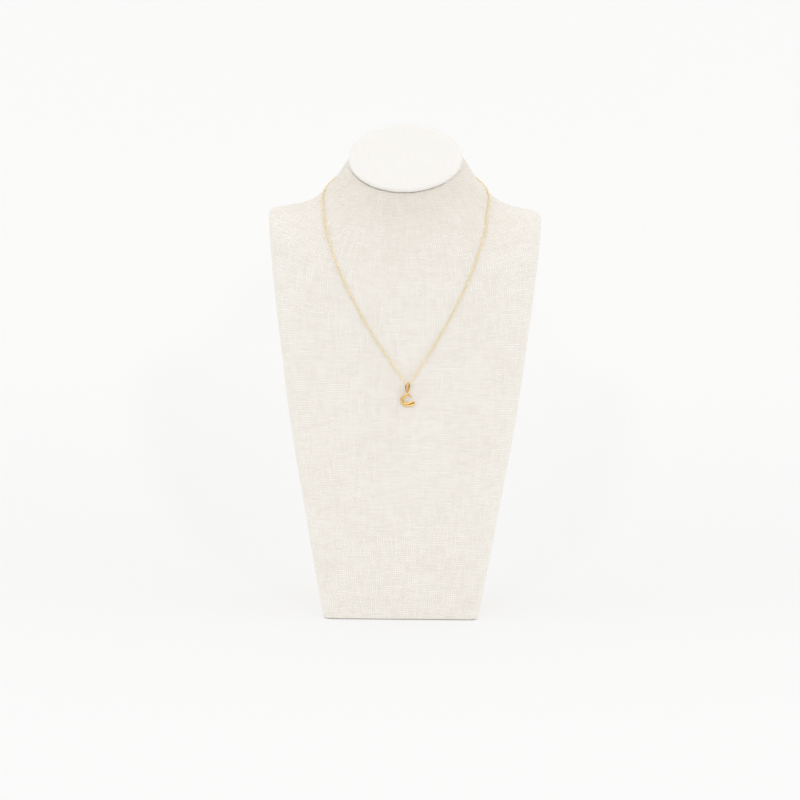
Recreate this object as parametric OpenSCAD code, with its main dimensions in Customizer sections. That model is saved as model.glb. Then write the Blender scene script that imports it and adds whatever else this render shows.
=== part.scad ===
// Initial pendant necklace shown on a linen covered neck bust.
// Millimetres, +Z up, the chest faces -Y, the origin is the middle of the foot on the table.

/* [Bust] */
// Height of the middle of the slanted neck cut above the table
neck_height = 315; // [230:1:420]
// Width across the shoulders at their fullest
shoulder_width = 190; // [140:1:260]
// Width of the foot
foot_width = 108; // [80:1:150]
// Diameter of the slanted neck cut
neck_width = 77; // [60:1:100]
// How far the fullest part of the chest stands in front of the middle
chest_depth = 51.5; // [40:0.5:75]
// How far the flat back stands behind the middle
back_depth = 47; // [35:0.5:65]
// Forward tilt of the neck cut, degrees
cut_tilt = 33.5; // [20:0.5:45]
// Sideways cant of the neck cut, degrees
cut_cant = 2.5; // [-5:0.5:5]

/* [Neck cap] */
// Diameter of the padded linen disc on the neck cut
cap_width = 80; // [64:0.5:106]
// Thickness of the disc at its rim
cap_rim = 3.6; // [2:0.1:8]
// Extra height of the padding in the middle
cap_crown = 1.2; // [0:0.1:4]

/* [Chain] */
// Width of the chain
chain_width = 1; // [0.7:0.05:1.6]
// Air between the chain and the linen
chain_air = 0.25; // [0.1:0.05:0.6]
// Radius of the bend that carries the bail
bend_radius = 2.2; // [1.6:0.1:3.5]
// Length of the plain barrel clasp behind the neck
clasp_length = 9; // [6:0.5:14]
// Diameter of the barrel clasp
clasp_width = 3; // [2.2:0.1:4.5]

/* [Bail] */
// Height of the eye shaped bail
bail_height = 6.8; // [6:0.1:9]
// Depth of the eye from its near limb to its far limb
bail_depth = 4.4; // [4:0.1:5.6]
// Width of the bail's band, the mean of its two limbs
bail_band = 1.5; // [1:0.1:1.8]
// Thickness of the bail's band
bail_gauge = 0.5; // [0.4:0.05:0.7]
// Turn of the bail about the vertical, degrees
bail_turn = 35; // [0:1:36]
// Air between the bail and the chain that it hangs on
bail_air = 0.12; // [0.05:0.01:0.25]

/* [Initial] */
// Height of the letter as it hangs
letter_height = 9.4; // [7:0.1:12]
// Width of the letter between the ends of its stroke
letter_width = 10; // [7:0.1:13]
// Widest stroke of the letter
letter_stroke = 2.3; // [1.6:0.1:2.8]
// Thickness of the letter
letter_gauge = 1.3; // [1:0.05:1.6]

/* [Hidden] */
linen = [0.93, 0.91, 0.87];
gold = [0.86, 0.63, 0.27];
slack = 0.05;

// The bust is a stack of rings from the neck cut (row 0) to the foot.
// width: share of the way from the neck to the shoulder, then from the foot to the shoulder
// side_drop, front_drop, back_drop: share of the fall from the cut to the table
// middle: share of the shift of the ring's middle towards the chest
// front, back: share of the way from the cut's edge to the full depth
// square: exponent of the ring, 2 is an ellipse; rise: how the ring climbs to its side
width = 0; side_drop = 1; middle = 2; front = 3; front_drop = 4;
back = 5; back_drop = 6; square_n = 7; rise = 8;
shoulder_row = 7;
bust_rows = [
  [0.000, 0.000, 0.00, 0.00, 0.000, 0.00, 0.000, 2.0, 1.0],
  [0.100, 0.021, 0.00, 0.05, 0.021, 0.08, 0.028, 2.0, 1.1],
  [0.220, 0.048, 0.00, 0.11, 0.048, 0.18, 0.063, 2.0, 1.3],
  [0.385, 0.077, 0.04, 0.21, 0.079, 0.28, 0.100, 2.1, 1.5],
  [0.545, 0.095, 0.08, 0.33, 0.110, 0.38, 0.133, 2.4, 1.7],
  [0.770, 0.103, 0.13, 0.43, 0.140, 0.49, 0.164, 2.8, 1.9],
  [0.940, 0.108, 0.17, 0.51, 0.166, 0.54, 0.191, 3.2, 2.0],
  [1.000, 0.119, 0.25, 0.56, 0.183, 0.59, 0.209, 3.4, 2.0],
  [0.988, 0.149, 0.33, 0.63, 0.214, 0.64, 0.239, 3.6, 2.0],
  [0.934, 0.222, 0.50, 0.72, 0.272, 0.74, 0.298, 3.9, 2.0],
  [0.744, 0.429, 0.75, 0.89, 0.445, 0.90, 0.477, 4.4, 2.0],
  [0.576, 0.587, 0.92, 0.97, 0.588, 1.00, 0.619, 5.0, 2.0],
  [0.336, 0.759, 1.00, 1.00, 0.752, 1.00, 0.777, 7.0, 2.0],
  [0.124, 0.911, 1.00, 0.93, 0.906, 1.00, 0.917, 12.0, 2.0],
  [0.000, 1.000, 0.92, 0.85, 1.000, 1.00, 1.000, 18.0, 2.0]
];
last_row = len(bust_rows) - 1;
ring_points = 64;
// Rings from one row to the next, closer together as far as the shoulders
upper_steps = 4;
lower_steps = 3;
// Number of rows over which the sideways cant of the cut fades out
cant_rows = 5;

// The neck cut
neck_radius = neck_width / 2;
cut_y = 11;
foot_y = -1;
cut_run = neck_radius * cos(cut_tilt);
cut_climb = neck_radius * sin(cut_tilt);

// Where the chain runs, right strand first: [turn about the bust, front_drop of the ring there]
chain_route = [
  [8, 0.421], [20.4, 0.36], [30, 0.304], [37.2, 0.252], [43, 0.203], [47.6, 0.167],
  [53.5, 0.138], [61, 0.115], [70, 0.093], [81, 0.076], [98, 0.059], [120, 0.046],
  [150, 0.037], [180, 0.034], [210, 0.037],
  [240, 0.046], [262, 0.058], [279, 0.073], [290, 0.092], [299, 0.115], [306.5, 0.138],
  [312.5, 0.167], [317.2, 0.203], [323.5, 0.25], [331.5, 0.302], [343.2, 0.361],
  [354.4, 0.409]
];
hang_turn = 3.2;
hang_fall = 0.439;
chain_radius = chain_width / 2;
chain_stand = chain_radius + chain_air;
// The bail's far limb lies between the chain and the linen and holds the chain off it.
limb_sink = 0.5;
hang_lift = bail_depth / 2 - limb_sink;
lift_reach = 34;
clasp_air = 0.1;
clasp_lift = clasp_width / 2 - chain_radius + clasp_air;
clasp_reach = 10;

// Letter: [across, down, stroke, gauge, groove] from the top of its arc, as shares
letter_rows = [
  [0.29, 0.34, 0.32, 0.55, 0],
  [0.15, 0.14, 0.48, 0.75, 0],
  [0.00, 0.00, 0.62, 0.90, 0],
  [-0.20, 0.21, 0.84, 1.00, 0],
  [-0.34, 0.43, 0.96, 1.00, 0],
  [-0.35, 0.62, 1.00, 1.00, 0],
  [-0.28, 0.80, 1.00, 1.00, 0],
  [-0.12, 0.94, 1.00, 1.00, 0.2],
  [0.10, 0.97, 1.05, 1.00, 0.6],
  [0.28, 0.89, 1.50, 1.00, 1.0],
  [0.41, 0.80, 1.25, 0.90, 1.0],
  [0.52, 0.73, 0.36, 0.60, 0.4]
];

function mix(a, b, t) = a + (b - a) * t;
function unit(v) = v / norm(v);
function sgn_pow(v, e) = sign(v) * pow(abs(v), e);

// Real sizes of one row: half width, side height, middle, front edge, front height,
// back edge, back height, exponent, rise, share of the cant
function row_size(i) = let (r = bust_rows[i]) [
  i <= shoulder_row ? mix(neck_radius, shoulder_width / 2, r[width])
                    : mix(foot_width / 2, shoulder_width / 2, r[width]),
  neck_height * (1 - r[side_drop]),
  mix(cut_y, foot_y, r[middle]),
  mix(cut_y - cut_run, -chest_depth, r[front]),
  (neck_height - cut_climb) * (1 - r[front_drop]),
  mix(cut_y + cut_run, back_depth, r[back]),
  (neck_height + cut_climb) * (1 - r[back_drop]),
  r[square_n],
  r[rise],
  max(0, 1 - i / cant_rows)
];
row_sizes = [for (i = [0:last_row]) row_size(i)];

// Slope of each column at a row, without overshoot
function slope(i, k) =
  i == 0 ? row_sizes[1][k] - row_sizes[0][k] :
  i == last_row ? row_sizes[i][k] - row_sizes[i - 1][k] :
  let (d0 = row_sizes[i][k] - row_sizes[i - 1][k], d1 = row_sizes[i + 1][k] - row_sizes[i][k])
  d0 * d1 <= 0 ? 0 : 2 * d0 * d1 / (d0 + d1);
row_slopes = [for (i = [0:last_row]) [for (k = [0:9]) slope(i, k)]];

function ring_at(s) =
  let (i = min(floor(s), last_row - 1), t = s - i)
  (2 * t * t * t - 3 * t * t + 1) * row_sizes[i] + (t * t * t - 2 * t * t + t) * row_slopes[i]
  + (3 * t * t - 2 * t * t * t) * row_sizes[i + 1] + (t * t * t - t * t) * row_slopes[i + 1];

bust_stations = concat(
  [for (i = [0:last_row - 1]) let (n = i <= shoulder_row + 1 ? upper_steps : lower_steps)
    for (j = [0:n - 1]) i + j / n],
  [last_row]
);

// A point of a ring, c and s are its shares of the depth and of the half width
function ring_point(g, c, s) =
  let (fore = c >= 0, edge = fore ? g[3] : g[5], top = fore ? g[4] : g[6], w = abs(c))
  [g[0] * s, g[2] + (edge - g[2]) * w, g[1] + (top - g[1]) * pow(w, g[8])
   + tan(cut_cant) * g[9] * g[0] * s];

function bust_ring(s) = let (g = ring_at(s), e = 2 / g[7])
  [for (k = [0:ring_points - 1]) let (t = 360 * k / ring_points)
    ring_point(g, sgn_pow(cos(t), e), sgn_pow(sin(t), e))];

// The same skin by its turn about the ring's middle, for what lies on it
function skin(s, turn) =
  let (g = ring_at(s), c = cos(turn), n = sin(turn), b = abs(g[c >= 0 ? 3 : 5] - g[2]),
       r = 1 / pow(pow(abs(n) / g[0], g[7]) + pow(abs(c) / b, g[7]), 1 / g[7]))
  ring_point(g, r * c / b, r * n / g[0]);
function skin_normal(s, turn) =
  unit(cross(skin(s + 0.02, turn) - skin(s - 0.02, turn), skin(s, turn + 0.5) - skin(s, turn - 0.5)));

// Ring solid: rings joined by bands and closed by flat ends, or joined to themselves
function ring_faces(rings, n, closed = false) = concat(
  [for (j = [0:rings - (closed ? 1 : 2)]) for (k = [0:n - 1])
    let (a = j * n, b = ((j + 1) % rings) * n, m = (k + 1) % n) [a + k, a + m, b + m, b + k]],
  closed ? [] : [[for (k = [n - 1:-1:0]) k], [for (k = [0:n - 1]) (rings - 1) * n + k]]
);

// Smooth curve through a list of rows
function curve(p, u) =
  let (i = min(floor(u), len(p) - 2), t = u - i, a = p[max(i - 1, 0)], b = p[i], c = p[i + 1],
       d = p[min(i + 2, len(p) - 1)])
  0.5 * (2 * b + (c - a) * t + (2 * a - 5 * b + 4 * c - d) * t * t
         + (3 * b - a - 3 * c + d) * t * t * t);

function flatten(lists) = [for (l = lists) for (v = l) v];

// The row of the bust whose front_drop has this value, by halving
function row_of(fall, low = 0, high = last_row, tries = 24) =
  let (i = (low + high) / 2, top = ring_at(0)[4])
  tries == 0 ? i :
  ring_at(i)[4] > top * (1 - fall) ? row_of(fall, i, high, tries - 1) : row_of(fall, low, i, tries - 1);

// The chain
hang_row = row_of(hang_fall);
hang_skin = skin(hang_row, hang_turn);
hang = hang_skin + skin_normal(hang_row, hang_turn) * (chain_stand + hang_lift);
route_last = len(chain_route) - 1;
nape = route_last / 2;
// Intervals of the route on each side of the nape that take more rings
nape_reach = 4;
nape_steps = 4;
strand_steps = 2;
// Straight end of the chain beside the clasp, and how many of its lengths stay free of other rings
lead = 0.6;
free_leads = 2.5;
// How far the bend leans towards the linen as it rises
bend_lean = 0.17;
chain_sides = 8;
// A direction that the chain never runs in, from which its rings are turned
chain_facing = [0, 0.3, 1];

function chain_lift(p) =
  hang_lift * pow(max(0, 1 - (p[2] - hang_skin[2]) / lift_reach), 2)
  + (p[1] < 0 ? 0 : clasp_lift * pow(max(0, 1 - max(0, abs(p[0]) - clasp_length / 2) / clasp_reach), 2));
function chain_spot(u) = let (r = curve(chain_route, u), i = row_of(r[1]), p = skin(i, r[0]))
  p + skin_normal(i, r[0]) * (chain_stand + chain_lift(p));
function bend_spot(t) =
  hang + bend_radius * [sin(t), bend_lean * (1 - cos(t)), 1 - cos(t)];

clasp_middle = chain_spot(nape);
clasp_half = clasp_length / 2 + slack;
function off_clasp(p) = p[1] < 0 || abs(p[0]) > clasp_half + free_leads * lead;
function strand(from, to) = [
  for (i = [from:to - 1]) let (steps = abs(i + 0.5 - nape) < nape_reach ? nape_steps : strand_steps)
    for (j = [0:steps - 1]) let (p = chain_spot(i + j / steps)) if (off_clasp(p)) p,
  if (off_clasp(chain_spot(to))) chain_spot(to)];
right_end = [for (x = [clasp_half + lead, clasp_half]) clasp_middle + [x, 0, 0]];
left_end = [for (x = [clasp_half, clasp_half + lead]) clasp_middle - [x, 0, 0]];
bend_reach = 54;
bend_step = 18;
bend = [for (t = [-bend_reach:bend_step:bend_reach]) bend_spot(t)];
chain_line = concat(left_end, strand(nape, route_last), bend, strand(0, nape), right_end);

function line_way(line, j) = unit(line[min(j + 1, len(line) - 1)] - line[max(j - 1, 0)]);

module bust_body() {
  color(linen)
    polyhedron(
      points = flatten([for (s = bust_stations) bust_ring(s)]),
      faces = ring_faces(len(bust_stations), ring_points)
    );
}

module neck_cap() {
  edge = cap_rim / 2;
  color(linen)
    translate([0, cut_y, neck_height])
      rotate([atan(tan(cut_tilt) * cos(cut_cant)), -cut_cant, 0])
        translate([0, 0, slack])
          rotate_extrude($fn = 96)
            polygon(concat(
              [[0, 0]],
              [for (t = [-90:15:75]) [cap_width / 2 - edge + edge * cos(t), edge + edge * sin(t)]],
              [for (j = [4:-1:0]) let (r = j / 4)
                [(cap_width / 2 - edge) * r, cap_rim + cap_crown * (1 - r * r)]]
            ));
}

module chain() {
  color(gold)
    polyhedron(
      points = flatten([for (j = [0:len(chain_line) - 1])
        let (way = line_way(chain_line, j), across = unit(cross(way, chain_facing)), up = cross(across, way))
        [for (k = [0:chain_sides - 1]) let (t = 360 * k / chain_sides)
          chain_line[j] + chain_radius * (across * cos(t) + up * sin(t))]]),
      faces = ring_faces(len(chain_line), chain_sides)
    );
}

module clasp() {
  r = clasp_width / 2;
  color(gold)
    translate(clasp_middle)
      rotate([0, 90, 0])
        rotate_extrude($fn = 32)
          polygon([[0, -clasp_length / 2], [r * 0.5, -clasp_length / 2], [r * 0.8, -clasp_length * 0.46],
                   [r, -clasp_length * 0.36], [r, clasp_length * 0.36], [r * 0.8, clasp_length * 0.46],
                   [r * 0.5, clasp_length / 2], [0, clasp_length / 2]]);
}

// The bail is an eye of flat band, its foot leans with the hang of the letter.
bail_lean = 0.12;
// Form of the eye seen from its side: half depth as a share, fullness, and how it narrows to its foot
eye_share = 0.54;
eye_full = 0.82;
eye_foot = 0.5;
// Share of the band's width left at the top and the foot, and how fast it widens from there
band_end = 0.4;
band_swell = 3.5;
// How much wider the near limb is than the mean, as a share; the far limb is as much narrower
band_lead = 0.3;
// How far the limbs bow to the left of the line from the top to the foot
band_bow = 0.5;
bail_top = chain_radius + bail_air + bail_gauge / 2;
bail_half = (bail_height - bail_gauge) / 2;
bail_steps = 44;
band_edge = [[-1, 0.4], [-0.8, 1], [0.8, 1], [1, 0.4], [1, -0.4], [0.8, -1], [-0.8, -1], [-1, -0.4]];

// Middle of the band, as depth and height, t runs round the eye from its foot
function bail_spot(t) = [
  eye_share * (bail_depth - bail_gauge) * sgn_pow(sin(t), eye_full) * pow(abs(sin(t / 2)), eye_foot),
  bail_top - bail_half - bail_half * cos(t)
];
function bail_station(t) =
  let (p = bail_spot(t), way = bail_spot(t + 1) - bail_spot(t - 1), out = unit([way[1], -way[0]]),
       band = bail_band * (1 - band_lead * sin(t)) * mix(band_end, 1, pow(abs(sin(t)), band_swell)) / 2,
       lean = bail_lean * (p[1] - bail_top) - band_bow * pow(sin(t), 2))
  [for (k = band_edge) let (n = k[1] * bail_gauge / 2)
    [k[0] * band + lean, p[0] + out[0] * n, p[1] + out[1] * n]];

module bail() {
  color(gold)
    translate(hang)
      rotate([0, 0, bail_turn])
        polyhedron(
          points = flatten([for (j = [0:bail_steps - 1]) bail_station(360 * j / bail_steps)]),
          faces = ring_faces(bail_steps, len(band_edge), true)
        );
}

// The letter hangs under the foot of the bail, its face towards the front.
letter_steps = 4;
letter_last = len(letter_rows) - 1;
// The row at the top of the letter's arc, which the bail's foot meets
crown_row = 2;
crown_stroke = letter_rows[crown_row][2] * letter_stroke;
letter_top = bail_top + bail_gauge / 2 - bail_height - slack - crown_stroke / 2;
letter_fall = letter_height - (crown_stroke + letter_stroke) / 2;
letter_deepest = max([for (r = letter_rows) r[1]]);
foot_shift = bail_lean * (2 * bail_half);
letter_edge = [[0.85, 1], [1, 0.2], [0.85, -0.55], [0.5, -0.9], [0, -1],
               [-0.5, -0.9], [-0.85, -0.55], [-1, 0.2], [-0.85, 1]];
groove_point = 4;
// Depth of the groove as a share of half the letter's thickness
groove_depth = 1.4;

function letter_spot(u) = let (r = curve(letter_rows, min(max(u, 0), letter_last)))
  [r[0] * letter_width, -r[1] * letter_fall / letter_deepest];
function letter_station(u) =
  let (r = curve(letter_rows, u), p = letter_spot(u), way = letter_spot(u + 0.1) - letter_spot(u - 0.1),
       side = unit([way[1], -way[0]]), half = letter_stroke / 2 * r[2], deep = letter_gauge / 2 * r[3])
  [for (k = [0:len(letter_edge) - 1])
    let (e = letter_edge[k], groove = k == groove_point ? groove_depth * r[4] : 0)
    [p[0] + side[0] * half * e[0], deep * (e[1] + groove), p[1] + side[1] * half * e[0]]];

module initial() {
  color(gold)
    translate(hang - foot_shift * [cos(bail_turn), sin(bail_turn), 0] + [0, 0, letter_top])
      polyhedron(
        points = flatten([for (j = [0:letter_last * letter_steps]) letter_station(j / letter_steps)]),
        faces = ring_faces(letter_last * letter_steps + 1, len(letter_edge))
      );
}

bust_body();
neck_cap();
chain();
clasp();
bail();
initial();
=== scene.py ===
import math
import random

import bmesh
import bpy
import numpy as np
from mathutils import Matrix, Vector


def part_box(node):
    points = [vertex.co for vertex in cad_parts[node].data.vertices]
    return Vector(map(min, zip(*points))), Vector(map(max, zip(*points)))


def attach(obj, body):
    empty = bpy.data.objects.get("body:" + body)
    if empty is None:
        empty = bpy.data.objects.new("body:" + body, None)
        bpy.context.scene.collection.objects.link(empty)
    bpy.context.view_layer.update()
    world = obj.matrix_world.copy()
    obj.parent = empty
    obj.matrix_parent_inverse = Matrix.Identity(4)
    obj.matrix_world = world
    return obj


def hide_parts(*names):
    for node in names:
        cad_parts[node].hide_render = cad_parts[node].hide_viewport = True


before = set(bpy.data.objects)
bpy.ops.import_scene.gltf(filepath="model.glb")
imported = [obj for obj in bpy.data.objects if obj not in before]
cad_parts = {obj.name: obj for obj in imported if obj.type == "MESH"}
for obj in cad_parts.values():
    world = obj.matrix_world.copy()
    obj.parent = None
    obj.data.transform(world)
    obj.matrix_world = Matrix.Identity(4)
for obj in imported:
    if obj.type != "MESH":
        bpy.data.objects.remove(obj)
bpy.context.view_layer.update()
millimetre = 0.001
print("frame loaded")


# Small helpers

weldReach = 0.002 * millimetre
flatReach = 0.001 * millimetre
endReach = 0.005 * millimetre      # how far a flat end's corners may lie from its plane


def pickOnly(piece):
    if bpy.context.mode != "OBJECT":
        bpy.ops.object.mode_set(mode="OBJECT")
    bpy.ops.object.select_all(action="DESELECT")
    piece.select_set(True)
    bpy.context.view_layer.objects.active = piece


def selectParts(piece, kind, wanted):
    # opens the piece in edit mode with only the wanted corners, edges or faces selected
    pickOnly(piece)
    bpy.ops.object.mode_set(mode="EDIT")
    bpy.ops.mesh.select_mode(type=kind)
    bpy.ops.mesh.select_all(action="DESELECT")
    form = bmesh.from_edit_mesh(piece.data)
    form.normal_update()
    for part in {"VERT": form.verts, "EDGE": form.edges, "FACE": form.faces}[kind]:
        part.select_set(wanted(part))
    bmesh.update_edit_mesh(piece.data)


def extrude(height):
    bpy.ops.mesh.extrude_region_move(TRANSFORM_OT_translate={"value": (0, 0, height)})


def applyModifier(piece, kind, **settings):
    pickOnly(piece)
    modifier = piece.modifiers.new(kind.lower(), kind)
    for key, value in settings.items():
        setattr(modifier, key, value)
    bpy.ops.object.modifier_apply(modifier=modifier.name)


def smoothOut(piece, levels):
    applyModifier(piece, "SUBSURF", levels=levels, render_levels=levels)


def unsettle(piece, name, size, **settings):
    clouds = bpy.data.textures.new(name, "CLOUDS")
    clouds.noise_scale = size
    applyModifier(piece, "DISPLACE", texture=clouds, texture_coords="LOCAL", direction="NORMAL", **settings)


def place(name, mesh):
    piece = bpy.data.objects.new(name, mesh)
    bpy.context.scene.collection.objects.link(piece)
    return piece


def facing(x, y, z):
    # the turn that lays a piece's own directions along these three
    return Matrix((x, y, z)).transposed().to_4x4()


def mergedCopy(node, name, flatEnds=()):
    # the node's own mesh is loose triangles and stays as it is
    # each flat end is given by its outward direction, and becomes one face before the quads are found
    piece = place(name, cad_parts[node].data.copy())
    piece.data.name = name
    pickOnly(piece)
    bpy.ops.mesh.customdata_custom_splitnormals_clear()
    bpy.ops.object.mode_set(mode="EDIT")
    bpy.ops.mesh.select_all(action="SELECT")
    bpy.ops.mesh.remove_doubles(threshold=weldReach)
    for direction in flatEnds:
        corners = [vertex.co.copy() for vertex in bmesh.from_edit_mesh(piece.data).verts]
        end = max(corner.dot(direction) for corner in corners) - endReach
        selectParts(piece, "FACE", lambda face: all(vertex.co.dot(direction) > end for vertex in face.verts))
        bpy.ops.mesh.dissolve_faces()
    bpy.ops.mesh.select_all(action="SELECT")
    bpy.ops.mesh.tris_convert_to_quads(face_threshold=math.pi, shape_threshold=math.pi)
    bpy.ops.mesh.normals_make_consistent(inside=False)
    bpy.ops.object.mode_set(mode="OBJECT")
    return piece


def dressAndRide(piece, material, body, slotName, *nodes):
    pickOnly(piece)
    bpy.ops.object.shade_smooth()
    piece.data.materials.clear()
    piece.data.materials.append(material)
    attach(piece, body)
    if nodes:
        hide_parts(*nodes)


# Node wiring for the materials and the room

class Wiring:
    def __init__(self, owner, shaderName="Principled BSDF"):
        owner.use_nodes = True
        self.tree = owner.node_tree
        self.shader = self.tree.nodes[shaderName]

    def node(self, kind, **settings):
        made = self.tree.nodes.new(kind)
        for key, value in settings.items():
            setattr(made, key, value)
        return made

    def feed(self, socket, value):
        if isinstance(value, bpy.types.NodeSocket):
            self.tree.links.new(value, socket)
        else:
            socket.default_value = value

    def feedAll(self, node, keys, values):
        for key, value in zip(keys, values):
            self.feed(node.inputs[key], value)

    def calculate(self, operation, *values):
        made = self.node("ShaderNodeMath", operation=operation)
        self.feedAll(made, range(len(values)), values)
        return made.outputs[0]

    def point(self, x, y, z=0.0):
        made = self.node("ShaderNodeCombineXYZ")
        self.feedAll(made, range(3), (x, y, z))
        return made.outputs[0]

    def split(self, vector):
        made = self.node("ShaderNodeSeparateXYZ")
        self.feed(made.inputs[0], vector)
        return made.outputs["X"], made.outputs["Y"], made.outputs["Z"]

    def coordinates(self, kind):
        return self.node("ShaderNodeTexCoord").outputs[kind]

    def distance(self, first, second):
        made = self.node("ShaderNodeVectorMath", operation="DISTANCE")
        self.feedAll(made, range(2), (first, second))
        return made.outputs["Value"]

    def noise(self, where, scale, detail=2.0, roughness=0.5):
        made = self.node("ShaderNodeTexNoise")
        self.feedAll(made, ("Vector", "Scale", "Detail", "Roughness"), (where, scale, detail, roughness))
        return made.outputs["Fac"]

    def span(self, value, low, high, toLow=0.0, toHigh=1.0):
        made = self.node("ShaderNodeMapRange")
        self.feedAll(made, ("Value", "From Min", "From Max", "To Min", "To Max"),
                     (value, low, high, toLow, toHigh))
        return made.outputs["Result"]

    def mixColours(self, share, first, second):
        made = self.node("ShaderNodeMix", data_type="RGBA")
        self.feedAll(made, (0, 6, 7), (share, first, second))
        return made.outputs[2]

    def mixNumbers(self, share, first, second):
        made = self.node("ShaderNodeMix", data_type="FLOAT")
        self.feedAll(made, (0, 2, 3), (share, first, second))
        return made.outputs[0]

    def bump(self, height, distance, strength=1.0):
        made = self.node("ShaderNodeBump")
        self.feedAll(made, ("Height", "Distance", "Strength"), (height, distance, strength))
        self.feed(self.shader.inputs["Normal"], made.outputs["Normal"])

    def shine(self, **values):
        for key, value in values.items():
            self.feed(self.shader.inputs[key.replace("_", " ")], value)


noiseRange = (0.3, 0.7)            # where a noise's values mostly lie


# Linen: plain weave on the piece's own thread map, which is in metres

linen = {
    "warpPitch": 1.4 * millimetre,
    "weftPitch": 1.5 * millimetre,
    "threadHeight": 0.17 * millimetre,
    # half a thread's width, as a share of its pitch, where it is thin and where it is thick
    "thin": 0.38, "thick": 0.53,
    "lift": 0.3,                       # how far a thread rises and falls, as a share of its height
    "slubLength": 12 * millimetre,
    "slubDetail": 3.0, "slubRoughness": 0.6,
    "slubRange": (0.38, 0.62), "slubContrast": 0.6,
    # the smaller, the more alike are threads that lie side by side
    "warpKinship": 0.55,
    "weftKinship": 1.7,
    "wander": 1.6,                     # of a thread's pitch
    "wanderScale": 55.0,               # per metre
    # broad, faint patches, and the painted shade round the neck: how much deeper the tone is there
    "cloudScale": 35.0, "cloudDetail": 3.0, "cloudTones": (-0.06, 0.08),
    "paintedNeckShade": 0.4, "paintedNeckShadeFrom": (0, 0.011, 0.315), "paintedNeckShadeNear": 0.045, "paintedNeckShadeFar": 0.11,
    "pale": (0.965, 0.935, 0.88, 1),
    "deep": (0.80, 0.745, 0.665, 1),
    "threadShade": (0.64, 0.575, 0.485, 1),
    # between threads, below these shares of their height, the painted shade in the gaps begins and is full
    "threadShadeBelow": 0.6, "threadShadeFull": 0.1,
    "roughness": 0.9, "gloss": 0.2, "fuzz": 0.1, "fuzzRoughness": 0.5,
    # the board under the foot, coloured dark as painted contact shadow along the foot, and the shares of its
    # height where that colour ends
    "boardAndShadow": (0.3, 0.235, 0.165, 1), "boardTall": 0.58 * millimetre, "boardFade": (0.8, 0.95),
}
# the cap's paler, less yellow colours are painted highlight, for the extra light its top catches; its weave
# is also finer
capLinen = dict(linen, paintedNeckShade=0.0, warpPitch=0.8 * millimetre, weftPitch=0.85 * millimetre,
                threadHeight=0.12 * millimetre, pale=(0.955, 0.94, 0.915, 1),
                deep=(0.91, 0.88, 0.835, 1), threadShade=(0.80, 0.76, 0.69, 1))


def weave(name, look):
    material = bpy.data.materials.new(name)
    w = Wiring(material)
    cloth = w.node("ShaderNodeUVMap", uv_map="threads").outputs["UV"]
    across, along, _ = w.split(cloth)
    where = w.coordinates("Object")

    def threadNumber(metres, pitch, seed):
        wander = w.noise(w.point(across, along, seed), look["wanderScale"])
        return w.calculate("MULTIPLY_ADD", wander, look["wander"], w.calculate("DIVIDE", metres, pitch))

    u = threadNumber(across, look["warpPitch"], seed=1.0)
    v = threadNumber(along, look["weftPitch"], seed=2.0)

    def thread(own, other, metres, kinship, offBeat, seed):
        # a round thread, thick and thin along its length, that rises over every second crossing
        number = w.calculate("FLOOR", own)
        row = w.calculate("MULTIPLY", number, kinship)
        slub = w.noise(w.point(row, w.calculate("DIVIDE", metres, look["slubLength"]), seed), 1.0,
                       look["slubDetail"], look["slubRoughness"])
        half = w.span(slub, *noiseRange, look["thin"], look["thick"])
        aside = w.calculate("ABSOLUTE", w.calculate("SUBTRACT", w.calculate("FRACT", own), 0.5))
        edge = w.calculate("DIVIDE", aside, half)
        fall = w.calculate("MULTIPLY_ADD", edge, w.calculate("MULTIPLY", edge, -1.0), 1.0)
        bulge = w.calculate("SQRT", w.calculate("MAXIMUM", fall, 0.0))
        beat = w.calculate("ADD", w.calculate("ADD", other, number), offBeat)
        wave = w.calculate("COSINE", w.calculate("MULTIPLY", beat, math.pi))
        rise = w.calculate("MULTIPLY_ADD", wave, look["lift"], 1 - look["lift"])
        return w.calculate("MULTIPLY", bulge, rise), slub

    warp, warpSlub = thread(u, v, along, look["warpKinship"], offBeat=-0.5, seed=0.0)
    weft, weftSlub = thread(v, u, across, look["weftKinship"], offBeat=0.5, seed=40.0)
    height = w.calculate("MAXIMUM", warp, weft)
    slub = w.mixNumbers(w.calculate("GREATER_THAN", warp, weft), weftSlub, warpSlub)
    cloud = w.noise(cloth, look["cloudScale"], look["cloudDetail"])
    tone = w.calculate("ADD", w.span(slub, *look["slubRange"], 0.0, look["slubContrast"]),
                       w.span(cloud, *noiseRange, *look["cloudTones"]))
    # painted shade: the cloth's tone deepens towards the neck, standing in for the shade below the cap
    fromNeck = w.distance(where, look["paintedNeckShadeFrom"])
    paintedNeckShade = w.span(fromNeck, look["paintedNeckShadeNear"], look["paintedNeckShadeFar"], look["paintedNeckShade"], 0.0)
    tone = w.calculate("ADD", tone, paintedNeckShade)
    colour = w.mixColours(tone, look["pale"], look["deep"])
    # painted shade: the gaps between threads, where the weave lies low, are coloured darker
    colour = w.mixColours(w.span(height, look["threadShadeFull"], look["threadShadeBelow"], 1.0, 0.0), colour, look["threadShade"])
    # painted shadow: the board's dark colour stands in for the contact shadow along the foot; its inset also
    # casts real shade
    boardLow, boardHigh = (share * look["boardTall"] for share in look["boardFade"])
    colour = w.mixColours(w.span(w.split(where)[2], boardLow, boardHigh, 1.0, 0.0), colour, look["boardAndShadow"])
    w.shine(Base_Color=colour, Roughness=look["roughness"], Specular_IOR_Level=look["gloss"],
            Sheen_Weight=look["fuzz"], Sheen_Roughness=look["fuzzRoughness"])
    w.bump(height, look["threadHeight"])
    return material


unrolling = {"iterations": 40, "margin": 0.01}


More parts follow.
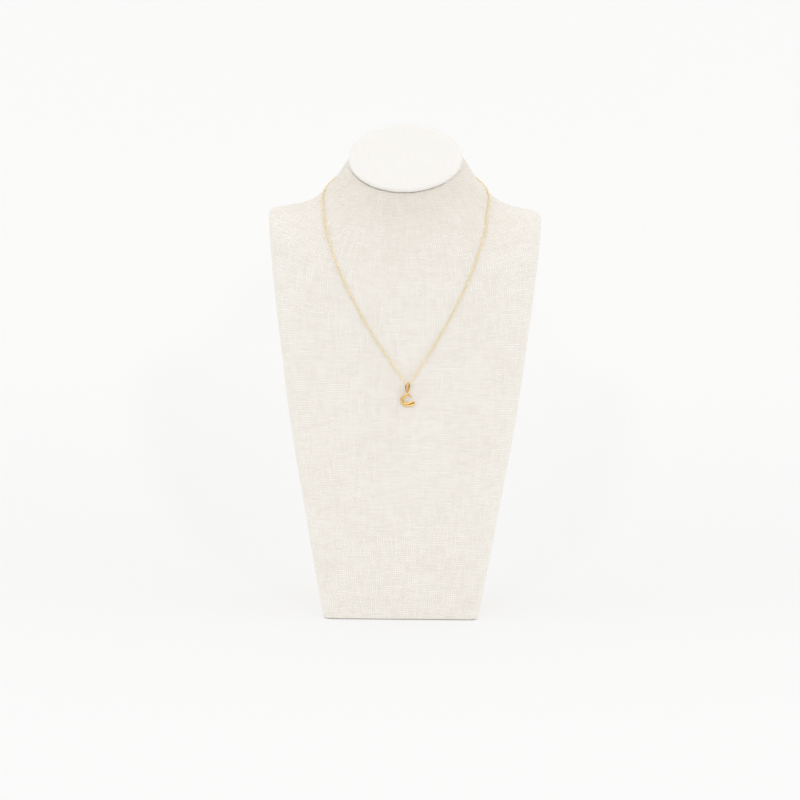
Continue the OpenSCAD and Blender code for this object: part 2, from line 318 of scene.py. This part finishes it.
def threadMap(piece, isSeam, isFront, frontMiddle):
    # unrolls the cloth along its seams, at its own size in metres, with one set of threads level in front
    # the front's middle is put in a fixed place on the map, because the unrolling may turn it either way up
    pickOnly(piece)
    while piece.data.uv_layers:
        piece.data.uv_layers.remove(piece.data.uv_layers[0])
    piece.data.uv_layers.new(name="threads")
    selectParts(piece, "EDGE", isSeam)
    bpy.ops.mesh.mark_seam(clear=False)
    bpy.ops.mesh.select_all(action="SELECT")
    bpy.ops.uv.unwrap(method="MINIMUM_STRETCH", **unrolling)
    bpy.ops.object.mode_set(mode="OBJECT")
    mesh = piece.data
    places = np.zeros(len(mesh.loops) * 2)
    mesh.uv_layers["threads"].data.foreach_get("uv", places)
    places = places.reshape(-1, 2)
    flatArea = 0.0
    front = []
    for face in mesh.polygons:
        corners = places[list(face.loop_indices)]
        beyond = np.roll(corners, -1, axis=0)
        flatArea += abs(np.sum(corners[:, 0] * beyond[:, 1] - corners[:, 1] * beyond[:, 0])) / 2
        if isFront(face):
            front += [(mesh.vertices[mesh.loops[i].vertex_index].co.x, *places[i]) for i in face.loop_indices]
    trueArea = sum(face.area for face in mesh.polygons)
    middle = np.mean(front, axis=0)
    front = np.array(front) - middle
    level = front[:, :1].T @ front[:, 1:]
    turn = math.atan2(level[0, 1], level[0, 0])
    spin = np.array([[math.cos(turn), -math.sin(turn)], [math.sin(turn), math.cos(turn)]])
    places = (places - middle[1:]) @ spin * math.sqrt(trueArea / flatArea) + np.array(frontMiddle)
    mesh.uv_layers["threads"].data.foreach_set("uv", places.ravel())


# Gold

goldFinish = {
    # faint patches from handling: how many per metre, their tint, what they do to the roughness
    "patchScale": 900.0, "patchDetail": 4.0, "patchRoughness": 0.6,
    "patchTint": (0.9, 0.52, 0.16, 1), "patchShare": 0.15, "patchRange": (0.35, 0.65),
    "patchPolish": (-0.05, 0.07),
    "grainScale": 2200.0, "grainHeight": 0.01 * millimetre, "grainStrength": 0.6,
}
# the tone in marked hollows is painted shade, and only a piece with marked hollows has it
letterGold = dict(goldFinish, colour=(0.88, 0.57, 0.195, 1), roughness=0.17,
                  shadeInHollows=(0.2, 0.09, 0.012, 1))
# the bail is the same gold as the letter, coloured deeper: painted shade for its shaded loop
shadedBailGold = dict(goldFinish, colour=(0.72, 0.38, 0.07, 1), roughness=0.2)
# the chain is the same gold, coloured much paler: painted highlight for the glints along its fine links
litChainGold = dict(goldFinish, colour=(1.0, 0.87, 0.58, 1), roughness=0.42)


def gold(name, look):
    material = bpy.data.materials.new(name)
    w = Wiring(material)
    where = w.coordinates("Object")
    patches = w.noise(where, look["patchScale"], look["patchDetail"], look["patchRoughness"])
    tinted = w.span(patches, *look["patchRange"], 0.0, look["patchShare"])
    colour = w.mixColours(tinted, look["colour"], look["patchTint"])
    # painted shade: a dark tone in the letter's hollows, from how sharply it curves inwards
    if "shadeInHollows" in look:
        hollowShade = w.node("ShaderNodeAttribute", attribute_name="hollowShade").outputs["Fac"]
        colour = w.mixColours(hollowShade, colour, look["shadeInHollows"])
    smoothest, roughest = (look["roughness"] + change for change in look["patchPolish"])
    w.shine(Base_Color=colour, Roughness=w.span(patches, *noiseRange, smoothest, roughest), Metallic=1.0)
    w.bump(w.noise(where, look["grainScale"]), look["grainHeight"], look["grainStrength"])
    return material


bustWeave = weave("stretched linen", linen)
capWeave = weave("cap linen", capLinen)
letterMetal = gold("polished gold", letterGold)
shadedBailMetal = gold("shaded bail gold", shadedBailGold)
litChainMetal = gold("lit chain gold", litChainGold)
print("materials made")


# Camera, fitted to the photograph's perspective

camera = {
    "target": (-0.00169, 0.007, 0.14616),
    "turn": 1.0,                   # degrees to the left of straight ahead
    "height": 8.0,                 # degrees above level
    "roll": 0.796,
    "distance": 1.5,
    "lens": 95.474,
    "sensor": 36.0,
    "nearest": 0.01,
}


def placeCamera():
    turn, height, roll = (math.radians(camera[key]) for key in ("turn", "height", "roll"))
    ahead = Vector((math.sin(turn) * math.cos(height), math.cos(turn) * math.cos(height), -math.sin(height)))
    right = ahead.cross(Vector((0, 0, 1))).normalized()
    up = right.cross(ahead)
    rolledUp = up * math.cos(roll) - right * math.sin(roll)
    rolledRight = right * math.cos(roll) + up * math.sin(roll)
    made = place("camera", bpy.data.cameras.new("camera"))
    made.data.lens = camera["lens"]
    made.data.sensor_width = camera["sensor"]
    made.data.clip_start = camera["nearest"]
    spot = Vector(camera["target"]) - ahead * camera["distance"]
    made.matrix_world = Matrix.Translation(spot) @ facing(rolledRight, rolledUp, -ahead)
    bpy.context.scene.camera = made


placeCamera()


# Where the cap and the neck meet

def largestFlat(node):
    groups = {}
    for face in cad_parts[node].data.polygons:
        groups.setdefault(tuple(round(part, 3) for part in face.normal), []).append(face)
    largest = max(groups.values(), key=lambda faces: sum(face.area for face in faces))
    return sum((face.normal * face.area for face in largest), Vector()).normalized()


def middleAlong(direction, corners):
    along = [corner.dot(direction) for corner in corners]
    return (max(along) + min(along)) / 2


capUp = -largestFlat("neck_cap")
capBack = capUp.cross(Vector((1, 0, 0))).normalized()
capAcross = capBack.cross(capUp)
capCorners = [vertex.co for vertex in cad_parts["neck_cap"].data.vertices]
capFloor = min(corner.dot(capUp) for corner in capCorners)
capSeat = (capAcross * middleAlong(capAcross, capCorners) + capBack * middleAlong(capBack, capCorners)
           + capUp * capFloor)
capRadius = max((corner - capSeat).dot(capAcross) for corner in capCorners)
capTall = max(corner.dot(capUp) for corner in capCorners) - capFloor


# Bust: linen stretched over the form and folded under at the foot and the neck

bust = {
    "levels": 2,
    "footFold": 0.7 * millimetre,
    "neckFold": 0.7 * millimetre,
    "foldSteps": 3,
    # the linen ends a little above the table, round a board that stands back from its edge
    "boardInset": 0.8 * millimetre, "liftReach": 4 * millimetre,
    "unevenness": 0.25 * millimetre,   # only inwards, so that the chain stays clear
    "unevenSize": 28 * millimetre,
    # the seam runs up the middle of the back, and the threads are level in this part of the front
    "seamBehind": 0.02, "seamReach": 0.5 * millimetre,
    "frontHalf": 0.04, "frontLow": 0.05, "frontHigh": 0.2, "frontNormal": -0.5,
    "frontMiddle": (-0.22708796, 0.12869936),
    "mostCorners": 8,                  # a face with more is a flat end
    "ringReach": 0.01 * millimetre, "soleReach": 0.02 * millimetre,
}


def isFlatEnd(face):
    return len(face.verts) > bust["mostCorners"]


def isBackSeam(edge):
    return all(vertex.co.y > bust["seamBehind"] and abs(vertex.co.x) < bust["seamReach"]
               for vertex in edge.verts)


def isBustFront(face):
    return (face.normal.y < bust["frontNormal"] and abs(face.center.x) < bust["frontHalf"]
            and bust["frontLow"] < face.center.z < bust["frontHigh"])


def foldUnder(cover, direction, fold):
    end = max(vertex.co.dot(direction) for vertex in cover.data.vertices) - bust["ringReach"]

    def onEnd(face):
        return all(vertex.co.dot(direction) > end for vertex in face.verts)

    selectParts(cover, "EDGE", lambda edge: len({onEnd(face) for face in edge.link_faces}) == 2)
    bpy.ops.mesh.bevel(offset=fold, segments=bust["foldSteps"], profile=0.5, affect="EDGES")
    bpy.ops.object.mode_set(mode="OBJECT")


def middleAndHalf(values):
    return (max(values) + min(values)) / 2, (max(values) - min(values)) / 2


def layBoard(cover):
    tall, inset = linen["boardTall"], bust["boardInset"]
    for vertex in cover.data.vertices:
        vertex.co.z += tall * max(0.0, 1 - vertex.co.z / bust["liftReach"])
    sole = tall + bust["soleReach"]
    foot = [vertex.co.copy() for vertex in cover.data.vertices if vertex.co.z < sole]
    halfWide = middleAndHalf([corner.x for corner in foot])[1]
    middleDeep, halfDeep = middleAndHalf([corner.y for corner in foot])
    selectParts(cover, "FACE", lambda face: all(vertex.co.z < sole for vertex in face.verts))
    extrude(0)
    bpy.ops.transform.resize(value=(1 - inset / halfWide, 1 - inset / halfDeep, 1),
                             center_override=(0, middleDeep, tall))
    extrude(-tall)
    bpy.ops.object.mode_set(mode="OBJECT")


def coverBust():
    down = Vector((0, 0, -1))
    cover = mergedCopy("bust_body", "bust_linen", (down, capUp))
    selectParts(cover, "FACE", isFlatEnd)
    bpy.ops.mesh.region_to_loop()
    bpy.ops.transform.edge_crease(value=1.0)
    bpy.ops.object.mode_set(mode="OBJECT")
    threadMap(cover, lambda edge: any(isFlatEnd(face) for face in edge.link_faces) or isBackSeam(edge),
              isBustFront, bust["frontMiddle"])
    smoothOut(cover, bust["levels"])
    foldUnder(cover, down, bust["footFold"])
    foldUnder(cover, capUp, bust["neckFold"])
    layBoard(cover)
    unsettle(cover, "linen lumps", bust["unevenSize"], strength=bust["unevenness"], mid_level=1.0)
    dressAndRide(cover, bustWeave, "bust", "linen", "bust_body")
    return cover


bustLinen = coverBust()
print("bust covered", len(bustLinen.data.polygons))


# Neck cap: a thin padded disc, its linen gathered under the rim

cap = {
    "sides": 96,
    "footShare": 0.955,
    # radius as a share of the rim, height as a share of the thickness, from the seat up to the crown
    "profile": ((0.975, 0.02), (0.993, 0.1), (1.0, 0.3), (0.998, 0.5), (0.98, 0.66), (0.945, 0.76),
                (0.88, 0.82), (0.7, 0.895), (0.45, 0.96), (0.2, 0.99), (0.05, 1.0)),
    "levels": 1,
    "gatherHeight": 0.8 * millimetre,
    "gatherSize": 5 * millimetre,
    "gatherLevel": 0.75,               # the share of the gathers that goes inwards
    # where the gathers lie: shares of the rim's radius outwards, and of the thickness upwards
    "gatherFrom": 0.9, "gatherFade": 0.06, "gatherTall": 0.6,
    "crownNormal": 0.9, "crownMiddle": (-0.045072, 0.042596),
    "fill": 0.9,
}


def padCap():
    bpy.ops.object.select_all(action="DESELECT")
    bpy.ops.mesh.primitive_circle_add(vertices=cap["sides"], radius=capRadius * cap["footShare"],
                                      fill_type="NGON")
    disc = bpy.context.active_object
    disc.name = disc.data.name = "cap_linen"
    selectParts(disc, "FACE", lambda face: True)
    radius, height = cap["footShare"], 0.0
    for nextRadius, nextHeight in cap["profile"]:
        extrude((nextHeight - height) * capTall)
        bpy.ops.transform.resize(value=(nextRadius / radius, nextRadius / radius, 1),
                                 center_override=(0, 0, nextHeight * capTall))
        radius, height = nextRadius, nextHeight
    bpy.ops.mesh.select_all(action="SELECT")
    bpy.ops.mesh.normals_make_consistent(inside=False)
    bpy.ops.object.mode_set(mode="OBJECT")
    threadMap(disc, lambda edge: any(isFlatEnd(face) and face.normal.z < 0 for face in edge.link_faces)
              and all(vertex.co.z < flatReach for vertex in edge.verts),
              lambda face: face.normal.z > cap["crownNormal"] and face.center.z > capTall / 2,
              cap["crownMiddle"])
    smoothOut(disc, cap["levels"])
    rim = disc.vertex_groups.new(name="rim")
    for vertex in disc.data.vertices:
        outward = math.hypot(vertex.co.x, vertex.co.y) / capRadius
        low = max(0.0, 1 - vertex.co.z / (cap["gatherTall"] * capTall))
        share = min(1.0, max(0.0, (outward - cap["gatherFrom"]) / cap["gatherFade"]))
        rim.add([vertex.index], share * low, "REPLACE")
    unsettle(disc, "cap gathers", cap["gatherSize"], strength=cap["gatherHeight"],
             mid_level=cap["gatherLevel"], vertex_group="rim")
    disc.vertex_groups.clear()
    disc.matrix_world = Matrix.Translation(capSeat) @ facing(capAcross, capBack, capUp)
    bpy.ops.object.transform_apply(location=True, rotation=True, scale=True)
    dressAndRide(disc, capWeave, "bust", "cap_linen", "neck_cap")
    return disc


capPad = padCap()
print("cap padded", len(capPad.data.polygons))


# Chain: soldered oval links, each passed through the next

chain = {
    "wire": 0.18 * millimetre,        # radius
    "linkWidth": 1.2 * millimetre,
    "linkLength": 1.72 * millimetre,
    "linkSteps": 10, "wireSteps": 6,
    "pitch": 1.0 * millimetre,
    "turn": 45.0,                      # degrees to either side, one link after the other
    "wobble": 7.0,                     # degrees
    "seed": 5,
    # the node's tube: the corners of one of its rings, and how far back its ends lie
    "ringCorners": 8, "endsBehind": 0.04,
    "lineSteps": 12,
}


def chainLine():
    # the middle of each ring of the chain's node, in order from the clasp's left side round to its right
    form = bmesh.new()
    form.from_mesh(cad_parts["chain"].data)
    bmesh.ops.remove_doubles(form, verts=form.verts, dist=weldReach)
    backLeft = [vertex for vertex in form.verts if vertex.co.x < 0 and vertex.co.y > chain["endsBehind"]]
    ring = sorted(backLeft, key=lambda vertex: -vertex.co.x)[:chain["ringCorners"]]
    seen = set(ring)
    middles = []
    while ring:
        middles.append(np.mean([vertex.co for vertex in ring], axis=0))
        near = {edge.other_vert(vertex) for vertex in ring for edge in vertex.link_edges}
        ring = [vertex for vertex in near if vertex not in seen]
        seen.update(ring)
    form.free()
    return np.array(middles)


def smoothLine(points, steps):
    # a curve through the points, with so many steps from each to the next
    before = np.vstack([2 * points[0] - points[1], points, 2 * points[-1] - points[-2]])
    p0, p1, p2, p3 = before[:-3], before[1:-2], before[2:-1], before[3:]
    pieces = []
    for step in range(steps):
        t = step / steps
        pieces.append(0.5 * (2 * p1 + (p2 - p0) * t + (2 * p0 - 5 * p1 + 4 * p2 - p3) * t * t
                             + (3 * p1 - p0 - 3 * p2 + p3) * t ** 3))
    line = np.stack(pieces, axis=1).reshape(-1, 3)
    return np.vstack([line, points[-1:]])


def oneLink():
    bpy.ops.object.select_all(action="DESELECT")
    reach = chain["linkWidth"] / 2 - chain["wire"]
    bpy.ops.mesh.primitive_torus_add(major_segments=chain["linkSteps"], minor_segments=chain["wireSteps"],
                                     major_radius=reach, minor_radius=chain["wire"])
    link = bpy.context.active_object
    stretch = (chain["linkLength"] - chain["linkWidth"]) / 2
    for side in (-1, 1):
        selectParts(link, "VERT", lambda vertex: vertex.co.x * side > 0)
        bpy.ops.transform.translate(value=(side * stretch, 0, 0))
    bpy.ops.object.mode_set(mode="OBJECT")
    return link


def linkChain():
    rng = random.Random(chain["seed"])
    line = smoothLine(chainLine(), chain["lineSteps"])
    lengths = np.concatenate([[0], np.cumsum(np.linalg.norm(np.diff(line, axis=0), axis=1))])
    count = round((lengths[-1] + 2 * chain["wire"] - chain["linkLength"]) / chain["pitch"]) + 1
    first = chain["linkLength"] / 2 - chain["wire"]
    stations = np.linspace(first, lengths[-1] - first, count)
    middles = np.stack([np.interp(stations, lengths, line[:, axis]) for axis in range(3)], axis=1)
    ways = np.gradient(middles, axis=0)
    ways /= np.linalg.norm(ways, axis=1)[:, None]
    link = oneLink()
    corners = np.array([vertex.co for vertex in link.data.vertices])
    faces = np.array([list(face.vertices) for face in link.data.polygons])
    bpy.data.objects.remove(link)
    side = np.array((0.0, 0.0, 1.0))
    allCorners, allFaces = [], []
    for number, (middle, way) in enumerate(zip(middles, ways)):
        side = side - way * side.dot(way)
        side /= np.linalg.norm(side)
        up = np.cross(way, side)
        turn = chain["turn"] if number % 2 else -chain["turn"]
        roll = math.radians(turn + rng.uniform(-1, 1) * chain["wobble"])
        across = side * math.cos(roll) + up * math.sin(roll)
        above = np.cross(way, across)
        allFaces.append(faces + len(corners) * number)
        allCorners.append(middle + corners @ np.array((way, across, above)))
    mesh = bpy.data.meshes.new("chain_links")
    mesh.from_pydata(np.vstack(allCorners).tolist(), [], np.vstack(allFaces).tolist())
    mesh.update()
    links = place("chain_links", mesh)
    dressAndRide(links, litChainMetal, "bust", "gold_chain", "chain")
    print("links", count, "chain", round(lengths[-1], 4), "pitch", round(stations[1] - stations[0], 6))


linkChain()
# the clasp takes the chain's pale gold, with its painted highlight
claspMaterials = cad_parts["clasp"].data.materials
claspMaterials.clear()
claspMaterials.append(litChainMetal)


# Pendant: bail and initial, cast and polished

pendant = {
    "levels": 2,
    # the bead of solder where they meet
    "bead": 0.55 * millimetre, "beadSteps": 24, "beadShape": (0.9, 0.85, 1.15),
    # painted shade in the hollows begins and is full where the surface curves inwards this sharply, per metre
    "hollowFrom": 60.0, "hollowFull": 350.0,
}


# marks where to paint shade in the hollows, from how sharply the surface curves inwards at each corner
def markHollows(piece):
    form = bmesh.new()
    form.from_mesh(piece.data)
    form.normal_update()
    curves = []
    for vertex in form.verts:
        ways = [edge.other_vert(vertex).co - vertex.co for edge in vertex.link_edges]
        reach = sum(way.length for way in ways) / len(ways)
        curves.append(sum(way.dot(vertex.normal) for way in ways) / len(ways) / reach ** 2)
    smoothed = []
    for vertex in form.verts:
        near = [curves[edge.other_vert(vertex).index] for edge in vertex.link_edges]
        smoothed.append((curves[vertex.index] + sum(near)) / (1 + len(near)))
    form.free()
    full = pendant["hollowFull"] - pendant["hollowFrom"]
    hollows = [min(1.0, max(0.0, (curve - pendant["hollowFrom"]) / full)) for curve in smoothed]
    piece.data.attributes.new("hollowShade", "FLOAT", "POINT").data.foreach_set("value", hollows)


def solderBead(meeting):
    bpy.ops.object.select_all(action="DESELECT")
    bpy.ops.mesh.primitive_uv_sphere_add(segments=pendant["beadSteps"], ring_count=pendant["beadSteps"] // 2,
                                         radius=pendant["bead"], location=meeting)
    bead = bpy.context.active_object
    bpy.ops.object.mode_set(mode="EDIT")
    bpy.ops.mesh.select_all(action="SELECT")
    bpy.ops.transform.resize(value=pendant["beadShape"], center_override=meeting)
    bpy.ops.object.mode_set(mode="OBJECT")
    return bead


def castPendant():
    loop = mergedCopy("bail", "bail_loop")
    smoothOut(loop, pendant["levels"])
    letter = mergedCopy("initial", "initial_letter")
    smoothOut(letter, pendant["levels"])
    markHollows(letter)
    loopLow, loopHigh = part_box("bail")
    letterLow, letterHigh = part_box("initial")
    bead = solderBead(((loopLow.x + loopHigh.x) / 2, (letterLow.y + letterHigh.y) / 2,
                       (loopLow.z + letterHigh.z) / 2))
    pickOnly(letter)
    bead.select_set(True)
    bpy.ops.object.join()
    dressAndRide(loop, shadedBailMetal, "pendant", "gold", "bail")
    dressAndRide(letter, letterMetal, "pendant", "gold", "initial")


castPendant()
print("pendant cast")


# Stage: a white sweep, open from behind so that it never hides the piece

stage = {
    "front": -1.7, "flatTo": 0.155, "bend": 0.145, "tall": 1.6, "halfWide": 1.7, "bendSteps": 24,
    "floorGlow": 0.576, "wallGlow": 0.628, "glowColour": (1, 1, 0.995, 1),
    "colour": (0.35, 0.35, 0.35, 1),
}


def layStage():
    profile = [(stage["front"], 0.0), (stage["flatTo"], 0.0)]
    for step in range(1, stage["bendSteps"] + 1):
        angle = math.pi / 2 * step / stage["bendSteps"]
        profile.append((stage["flatTo"] + stage["bend"] * math.sin(angle),
                        stage["bend"] * (1 - math.cos(angle))))
    profile.append((profile[-1][0], stage["tall"]))
    corners = [(side * stage["halfWide"], y, z) for y, z in profile for side in (-1, 1)]
    faces = [(2 * i, 2 * i + 1, 2 * i + 3, 2 * i + 2) for i in range(len(profile) - 1)]
    mesh = bpy.data.meshes.new("sweep")
    mesh.from_pydata(corners, [], faces)
    mesh.update()
    sweep = place("sweep", mesh)
    pickOnly(sweep)
    bpy.ops.object.shade_smooth()
    material = bpy.data.materials.new("white sweep")
    w = Wiring(material)
    rise = w.span(w.split(w.coordinates("Object"))[2], 0.0, stage["bend"])
    w.shine(Base_Color=stage["colour"], Roughness=1.0, Specular_IOR_Level=0.0,
            Emission_Color=stage["glowColour"],
            Emission_Strength=w.mixNumbers(rise, stage["floorGlow"], stage["wallGlow"]))
    clear = w.node("ShaderNodeBsdfTransparent")
    behind = w.node("ShaderNodeNewGeometry").outputs["Backfacing"]
    choice = w.node("ShaderNodeMixShader")
    w.feedAll(choice, range(3), (behind, w.shader.outputs[0], clear.outputs[0]))
    w.feed(w.tree.nodes["Material Output"].inputs["Surface"], choice.outputs[0])
    mesh.materials.append(material)


layStage()


# Light: two soft lamps in front, whose twin shadows the photograph shows, and a pale room

lighting = {
    "lamps": (((0.993, -2.707, 1.587), 8.2), ((-0.872, -2.691, 1.749), 7.2)),
    "lampSize": 0.35,
    "aim": (0.0, 0.0, 0.17),
    # strength of the pale room on the cloth: from the sides and from above
    "sides": 1.05, "above": 0.82,
    # what the metal mirrors: a pale panel above the camera between darker walls
    "wallsInMetal": 0.44, "panelInMetal": 1.6,
    # the panel's lower edge, from dark to pale, and its ends, from pale to dark
    "panelFoot": (0.02, 0.2), "panelEnd": (0.4, 0.7),
    "seen": 0.95,
}


def hangLamps():
    for number, (spot, power) in enumerate(lighting["lamps"], 1):
        data = bpy.data.lights.new("lamp" + str(number), "AREA")
        data.shape = "DISK"
        data.size = lighting["lampSize"]
        data.energy = power
        lamp = place(data.name, data)
        lamp.location = spot
        lamp.rotation_euler = (Vector(lighting["aim"]) - Vector(spot)).to_track_quat("-Z", "Y").to_euler()


def lightRoom():
    world = bpy.data.worlds.new("room")
    bpy.context.scene.world = world
    w = Wiring(world, "Background")
    x, _, z = w.split(w.coordinates("Generated"))
    aside = w.calculate("ABSOLUTE", x)
    onCloth = w.calculate("ADD", w.calculate("MULTIPLY", aside, lighting["sides"]),
                          w.span(z, 0.0, 1.0, 0.0, lighting["above"]))
    endFrom, endTo = lighting["panelEnd"]
    panel = w.calculate("MULTIPLY", w.span(z, *lighting["panelFoot"]), w.span(aside, endTo, endFrom))
    inMetal = w.mixNumbers(panel, lighting["wallsInMetal"], lighting["panelInMetal"])
    path = w.node("ShaderNodeLightPath").outputs
    strength = w.mixNumbers(path["Is Glossy Ray"], onCloth, inMetal)
    w.shine(Color=(1, 1, 1, 1), Strength=w.mixNumbers(path["Is Camera Ray"], strength, lighting["seen"]))


hangLamps()
lightRoom()
bpy.context.scene.view_settings.view_transform = "Standard"
print("stage and lights placed")
